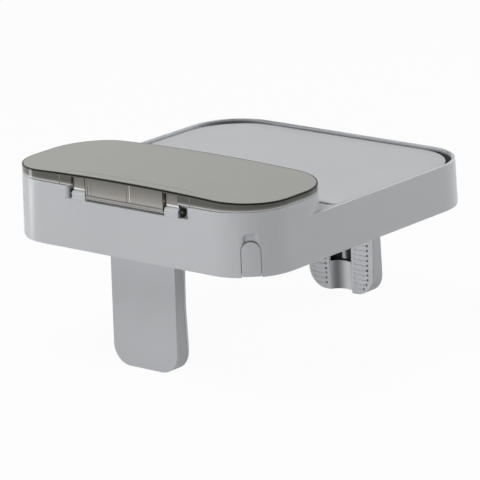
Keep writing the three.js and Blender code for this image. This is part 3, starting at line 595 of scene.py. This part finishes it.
def pad_face(height):
    """How deep the pad's face lies at a height above the floor."""
    for (z0, y0), (z1, y1) in zip(PAD_FACE, PAD_FACE[1:]):
        if height <= z1:
            break
    return y0 + (y1 - y0) * (height - z0) / (z1 - z0)


def in_hollow(x, depth, z):
    """Whether a place lies on the inside of the hollow housing."""
    corner = LEG_HALF - FOOT_RADIUS
    reach = math.hypot(max(0, abs(x) - corner), max(0, FOOT_RADIUS - z))
    splay = LEG_SPLAY * (1 - z * MM / BODY_Z)
    return reach < FOOT_RADIUS - LEG_SKIN and depth > LEG_OUTER - splay


def in_trough(x, depth, z, facing):
    """Whether a face of the pad lies in the finger trough."""
    sunk = depth < pad_face(z) - TROUGH_STEP
    return abs(x) < TROUGH_HALF and z < TROUGH_TOP and sunk and facing > TROUGH_FACING


def drain_holes(name, line, turn):
    """All the punches of one pad, joined into one cutter."""
    punches = []
    for i in range(RIB_COUNT):
        z = RIB_FIRST + i * RIB_PITCH
        sag = FOOT_RADIUS - math.sqrt(FOOT_RADIUS ** 2 - max(0, FOOT_RADIUS - z) ** 2)
        depths = (pad_face(z) - HOLE_DEPTH, pad_face(z) + HOLE_CLEAR)
        for x in (RIB_MARGIN + sag - LEG_HALF, RIB_INNER):
            xs = sorted((turn * x, turn * (x + HOLE)))
            ys = sorted(line + turn * depth for depth in depths)
            low = Vector((xs[0], ys[0], z - HOLE / 2)) * MM
            high = Vector((xs[1], ys[1], z + HOLE / 2)) * MM
            punches.append(block(name, low, high))
    for punch in punches:
        punch.select_set(True)
    bpy.ops.object.join()
    return bpy.context.active_object


# %% Legs and their pads
# Each row gives the end, the body, the line of the leg's outer face and the way the leg is turned.
LEGS = (("front", "tray", -147.5, 1), ("rear", "rear_leg", 161.3, -1))
LEG_EDGE, PAD_EDGE = 0.4 * MM, 0.25 * MM

# Painted shading across the finger trough: painted shade on its left flank, painted light on its right.
trough_painted_tones = [(0, (224, 226, 228)), (0.06, (170, 172, 174)), (0.12, (124, 125, 127)),
                (0.2, (116, 117, 119)), (0.3, (156, 158, 160)), (0.46, (208, 210, 213)),
                (0.66, (228, 230, 232)), (1, (206, 208, 211))]
trough_painted_shading = graded("trough_painted_shading", trough_painted_tones, -TROUGH_HALF * MM, TROUGH_HALF * MM, roughness=0.45,
                      axis="X")

for end, body, line, turn in LEGS:
    leg = rounded_copy(end + "_leg_shell", end + "_leg_housing", LEG_EDGE)
    settle(leg, leg_plastic, body, "leg", end + "_leg_shell")
    add_finishes(leg, leg_inside_painted_shade)
    # The faces inside the hollow get painted shade.
    for face in leg.data.polygons:
        x, y, z = face.center / MM
        if in_hollow(x, turn * (y - line), z):
            paint(leg, face, leg_inside_painted_shade)
    grip = copy_of(end + "_leg_grip", end + "_leg_pad")
    cut_away(grip, drain_holes(end + "_punches", line, turn))
    round_edges(grip, PAD_EDGE)
    settle(grip, grip_plastic, body, "grip", end + "_leg_grip")
    add_finishes(grip, trough_painted_shading)
    # The trough's faces get its painted shading.
    for face in grip.data.polygons:
        x, y, z = face.center / MM
        if in_trough(x, turn * (y - line), z, turn * face.normal.y):
            paint(grip, face, trough_painted_shading)

# %% [markdown]
# ## Spring under the lever
# The coil stands on the leg and carries the lever's brake pad. It is a smoothed copy of the solid, in steel
# with a mesh of its own, and it moves with the rear leg.

coil = copy_of("lever_spring", "lever_coil")
smooth(coil)
settle(coil, screw_steel, "rear_leg", "steel", "lever_spring")
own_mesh(coil)

# %% [markdown]
# ## Smoked lid
# The lid is a shallow cap, higher along its middle than at its two ends. It is cut here from a block:
# round the four corners, slice it across, lift the slices into a crown, open it below and give it its
# wall. The top edge is rounded last, with a dark painted shade on the rounding, so that the inside stays
# plain.

# %% Lid block
LID_HALF, LID_WALL, LID_CROWN = 158.25 * MM, 2.5 * MM, 4.7 * MM
LID_FRONT, LID_REAR = -168.2 * MM, -43.75 * MM
FRONT_CORNER, REAR_CORNER, CORNER_STEPS = 51.3 * MM, 48.8 * MM, 16
# Across the tray in millimetres: the openings over the hinge posts, fine upright lines, and all the slices.
POST_INNER, POST_OUTER = 49.3, 66.4
LINE_INNER, LINE_OUTER = 80.4, 81.6
LID_SLICES = (0, 12, 24, 36, POST_INNER, 58, POST_OUTER, 71, LINE_INNER, LINE_OUTER,
              95, 107, 118, 128, 137, 145, 151)
SLIVER = 0.4 * MM
BROW = 2.6 * MM
SQUARE_ON = 0.9


def crown(x):
    """Height of the lid's top edge at a place across the tray."""
    return LID_EDGE + LID_CROWN * (1 - (x / LID_HALF) ** 2)


knuckles = copy_of("lid", "lid_knuckles")
lid_cap = block("lid_cap", (-LID_HALF, LID_FRONT, LID_LOW), (LID_HALF, LID_REAR, LID_EDGE))
add_finishes(lid_cap, lid_skirt_painted_shading, lid_frost, lid_edge_painted_shade, lid_lip)
for line, radius in ((LID_FRONT, FRONT_CORNER), (LID_REAR, REAR_CORNER)):
    select_only(lid_cap, "edges", lambda edge, ends: abs(ends[0].z - ends[1].z) > MM
                and abs(ends[0].y - line) < MM)
    bpy.ops.mesh.bevel(offset=radius, segments=CORNER_STEPS, affect="EDGES")
    leave()
slices(lid_cap, (1, 0, 0), sorted({x * MM * side for x in LID_SLICES for side in (-1, 1)}))
slices(lid_cap, (0, 0, 1), [LID_EDGE - BROW])
edit(lid_cap)
# Slices that pass close to a step of a corner leave slivers, which are merged away.
bpy.ops.mesh.remove_doubles(threshold=SLIVER)
leave()
print("lid block", len(lid_cap.data.polygons), "faces")

# %% Crown of the lid
for point in lid_cap.data.vertices:
    if point.co.z > LID_EDGE - BROW - MM:
        point.co.z += crown(point.co.x) - LID_EDGE
for face in lid_cap.data.polygons:
    if face.normal.z > SQUARE_ON:
        paint(lid_cap, face, lid_frost)
    elif face.normal.y < -SQUARE_ON and LINE_INNER * MM < abs(face.center.x) < LINE_OUTER * MM:
        paint(lid_cap, face, lid_lip)
print("crown", round(LID_CROWN / MM, 1), "mm")

# %% Lid opened and given its wall
TOP_NEAR = 0.5 * MM
TOP_ROUNDING, TOP_STEPS, TOP_PROFILE = 1.5 * MM, 4, 0.86


def opened(face, ends):
    """The bottom of the block, and the front wall over each hinge post, up to the brow."""
    over_post = POST_INNER * MM < abs(face.center.x) < POST_OUTER * MM and face.normal.y < -SQUARE_ON
    return face.normal.z < -SQUARE_ON or (over_post and face.center.z < LID_EDGE)


def on_top(face, ends):
    """The outer side of the crowned top."""
    return face.normal.z > SQUARE_ON and all(end.z > crown(end.x) - TOP_NEAR for end in ends)


select_only(lid_cap, "polygons", opened)
bpy.ops.mesh.delete(type="FACE")
leave()
apply_modifier(lid_cap, "SOLIDIFY", thickness=LID_WALL, offset=-1, use_even_offset=True,
               use_quality_normals=True)
select_only(lid_cap, "polygons", on_top)
bpy.ops.mesh.region_to_loop()
# The rounding of the top edge gets the dark painted shade.
bpy.ops.mesh.bevel(offset=TOP_ROUNDING, segments=TOP_STEPS, profile=TOP_PROFILE, affect="EDGES",
                   material=finish_number(lid_cap, lid_edge_painted_shade))
leave()
smooth(lid_cap)
settle(lid_cap, lid_skirt_painted_shading, "lid", "smoked_lid", "lid")

# %% [markdown]
# ## Front of the lid
# Below the skirt hang a wide flap and two ears, which turn on the hinge pins. Seen from the front the
# flap is a clear plate with painted shading, and its ends are in painted shade. Over each hinge post the
# skirt is open, and a short clear block stands further in, with a painted highlight along its foot. The
# knuckles come from the solid: they are cut off below the cap, and the ears are set back behind the wall's
# face and given painted shade, so that each notch reads as a dark pocket with the pin in it. The
# knuckles' lower faces get painted light.

# %% Knuckles
KNUCKLE_TOP, KNUCKLE_EDGE, ON_PLANE = LID_LOW - 0.2 * MM, 0.25 * MM, 0.001 * MM
EAR_FACE, EAR_INNER, EAR_OUTER = HINGE_Y - 1.2 * MM, 49.2 * MM, 80 * MM
EAR_FROM, EAR_REACH = 60 * MM, 9 * MM

edit(knuckles)
bpy.ops.mesh.bisect(plane_co=(0, 0, KNUCKLE_TOP), plane_no=(0, 0, 1), use_fill=True,
                    clear_outer=True, threshold=ON_PLANE)
leave()
for side in (-1, 1):
    xs = sorted((side * EAR_INNER, side * EAR_OUTER))
    low = (xs[0], HINGE_Y - EAR_REACH, HINGE_Z - EAR_REACH)
    cut_away(knuckles, block("ear_cutter", low, (xs[1], EAR_FACE, LID_LOW + MM)))
round_edges(knuckles, KNUCKLE_EDGE)
add_finishes(knuckles, lid_lip, lid_edge_painted_shade, lid_foot_painted_light)
# The ears get painted shade, and the knuckles' lower faces get painted light.
for face in knuckles.data.polygons:
    if abs(face.center.x) > EAR_FROM:
        paint(knuckles, face, lid_edge_painted_shade)
    elif face.center.z < FLAP_LOW:
        paint(knuckles, face, lid_foot_painted_light)
settle(knuckles, lid_lip, "lid", "smoked_lid")

# %% Plates on the front
PLATE_FRONT, PLATE_DEEP = HINGE_Y - 4.05 * MM, 0.45 * MM
PLATE_CLEAR = 1.8 * MM
END_BAND = 0.9 * MM


def front_plate(name, x0, x1, low, bands, ribs=(), front=PLATE_FRONT):
    """A clear plate on the lid's front with ends in painted shade; each band and rib has its own finish."""
    high = crown(max(abs(x0), abs(x1))) - PLATE_CLEAR
    plate = block(name, (x0, front, low), (x1, front + PLATE_DEEP, high))
    add_finishes(plate, lid_window_painted_shading, lid_edge_painted_shade, lid_lip, lid_glint)
    slices(plate, (1, 0, 0), (x0 + END_BAND, x1 - END_BAND, *[x for rib in ribs for x in rib[:2]]))
    slices(plate, (0, 0, 1), [top for top, material in bands])
    for face in plate.data.polygons:
        for rib_left, rib_right, material in ribs:
            if rib_left < face.center.x < rib_right:
                paint(plate, face, material)
        for top, material in reversed(bands):
            if face.center.z < top:
                paint(plate, face, material)
        if not x0 + END_BAND < face.center.x < x1 - END_BAND:
            paint(plate, face, lid_edge_painted_shade)
    settle(plate, lid_window_painted_shading, "lid", "smoked_lid")


# %% Flap and blocks
FLAP_HALF = 49 * MM
BLOCK_INNER, BLOCK_OUTER = 49.4 * MM, 66.3 * MM
BLOCK_LOW = HINGE_Z + 4.3 * MM

flap_bands = [(FLAP_LOW + 1.3 * MM, lid_window_painted_shading), (FLAP_LOW + 2.7 * MM, lid_lip)]
# The ribs from 2.9 and 7.2 mm are the centre rib's painted shade and painted highlight.
flap_ribs = [(-46.2 * MM, -45 * MM, lid_lip), (-41.6 * MM, -40.8 * MM, lid_lip),
             (2.9 * MM, 4 * MM, lid_lip), (7.2 * MM, 7.8 * MM, lid_glint)]
# Painted highlight along the foot of each block.
block_bands = [(BLOCK_LOW + 1.8 * MM, lid_glint)]
front_plate("flap_plate", -FLAP_HALF, FLAP_HALF, FLAP_LOW, flap_bands, flap_ribs)
for side, x0, x1 in (("left", -BLOCK_OUTER, -BLOCK_INNER), ("right", BLOCK_INNER, BLOCK_OUTER)):
    front_plate("post_block_" + side, x0, x1, BLOCK_LOW, block_bands, front=EAR_FACE)

# %% [markdown]
# ## Pieces that stay as they are
# The screws, the pins, the lever and the runner need no more than a finish. Each takes the one that its
# entry in the record asks for, and the pins are black.

# %% Finishes for the other solids
finish = {"shell": shell_plastic, "panel": panel_plastic, "leg": leg_plastic, "grip": grip_plastic,
          "smoked_lid": lid_skirt_painted_shading, "steel": screw_steel}
for entry in frame["record"]["subparts"]:
    solid = frame["nodes"][entry["node"]]
    solid.data.materials.clear()
    solid.data.materials.append(pin_steel if "_pin_" in entry["node"] else finish[entry["material_slot"]])
print("solids finished", len(frame["nodes"]))

# %% [markdown]
# ## Studio
# The photograph is a cut-out on white. The floor and the background look white to the camera, in
# reflections and through the clear lid, and give the tray hardly any light of their own. The floor keeps
# a faint shadow, and it is clear from below, so that the underside can be looked at.

# %% What the camera sees
def in_view(tree):
    """One where the camera sees a surface, also mirrored or through clear plastic, and else nought."""
    path = tree.nodes.new("ShaderNodeLightPath").outputs
    seen = arithmetic(tree, "MAXIMUM", path["Is Camera Ray"], path["Is Glossy Ray"])
    return arithmetic(tree, "MAXIMUM", seen, path["Is Transmission Ray"])


def blend(tree, share, first, second):
    """A mix of two shaders."""
    mix = tree.nodes.new("ShaderNodeMixShader")
    tree.links.new(share, mix.inputs["Fac"])
    tree.links.new(first, mix.inputs[1])
    tree.links.new(second, mix.inputs[2])
    return mix.outputs["Shader"]


# %% Floor
FLOOR_SIZE, FLOOR_Z = 12, -0.4 * MM
FLOOR_GREY, FLOOR_ROUGHNESS, FLOOR_GLOW = 0.6, 0.9, 0.96

bpy.ops.object.select_all(action="DESELECT")
bpy.ops.mesh.primitive_plane_add(size=FLOOR_SIZE, location=(0, 0, FLOOR_Z))
floor = bpy.context.active_object
floor.name = "studio_floor"
white = bpy.data.materials.new("studio_white")
white.use_nodes = True
tree = white.node_tree
matt = tree.nodes["Principled BSDF"]
matt.inputs["Base Color"].default_value = (FLOOR_GREY, FLOOR_GREY, FLOOR_GREY, 1)
matt.inputs["Roughness"].default_value = FLOOR_ROUGHNESS
glow = tree.nodes.new("ShaderNodeEmission")
glow.inputs["Color"].default_value = (1, 1, 1, 1)
glow.inputs["Strength"].default_value = 1.0
clear = tree.nodes.new("ShaderNodeBsdfTransparent")
from_below = tree.nodes.new("ShaderNodeNewGeometry").outputs["Backfacing"]
glowing = arithmetic(tree, "MULTIPLY", in_view(tree), FLOOR_GLOW)
top_side = blend(tree, glowing, matt.outputs["BSDF"], glow.outputs["Emission"])
one_way = blend(tree, from_below, top_side, clear.outputs["BSDF"])
tree.links.new(one_way, tree.nodes["Material Output"].inputs["Surface"])
floor.data.materials.append(white)
print("floor laid")

# %% Background
SKY_LIGHT = 0.015

world = bpy.data.worlds.new("studio_world")
bpy.context.scene.world = world
world.use_nodes = True
tree = world.node_tree
sky = tree.nodes["Background"]
sky.inputs["Color"].default_value = (1, 1, 1, 1)
tree.links.new(stretch(tree, in_view(tree), SKY_LIGHT, 1.0), sky.inputs["Strength"])
print("background ready")

# %% [markdown]
# ## Lamps
# A large soft lamp above does most of the work, two low ones in front even out the front wall, and one
# behind on the right lifts the right wall out of the shade. Only the top lamp and a small card are
# mirrored in the plastic. The card stands close to the left front corner and gives it a bright streak.

# %% Lamps
TRAY_MIDDLE = Vector((0, 0, 0.1))


def soft_lamp(name, place, size, watts, mirrored=False):
    """A soft lamp turned towards the tray."""
    lamp = bpy.data.lights.new(name, "AREA")
    lamp.shape = "ELLIPSE"
    lamp.size, lamp.size_y = size
    lamp.energy = watts
    holder = bpy.data.objects.new(name, lamp)
    bpy.context.scene.collection.objects.link(holder)
    holder.location = place
    holder.rotation_mode = "QUATERNION"
    holder.rotation_quaternion = (TRAY_MIDDLE - holder.location).to_track_quat("-Z", "Y")
    holder.visible_camera = False
    holder.visible_glossy = mirrored
    print(name, watts, "W")


soft_lamp("key_lamp", (-1.72, -2.36, 0.35), size=(1.8, 0.6), watts=15)
soft_lamp("front_lamp", (0.89, -2.44, 0.32), size=(1.8, 0.6), watts=28)
soft_lamp("rear_lamp", (1.35, 1.98, 0.9), size=(2.4, 1.4), watts=44)
soft_lamp("top_lamp", (-0.6, -0.6, 2.4), size=(1.4, 1.4), watts=39, mirrored=True)
soft_lamp("corner_card", (-0.329, -0.23, 0.1), size=(0.06, 0.085), watts=0.055, mirrored=True)
bpy.context.scene.view_settings.view_transform = "Standard"
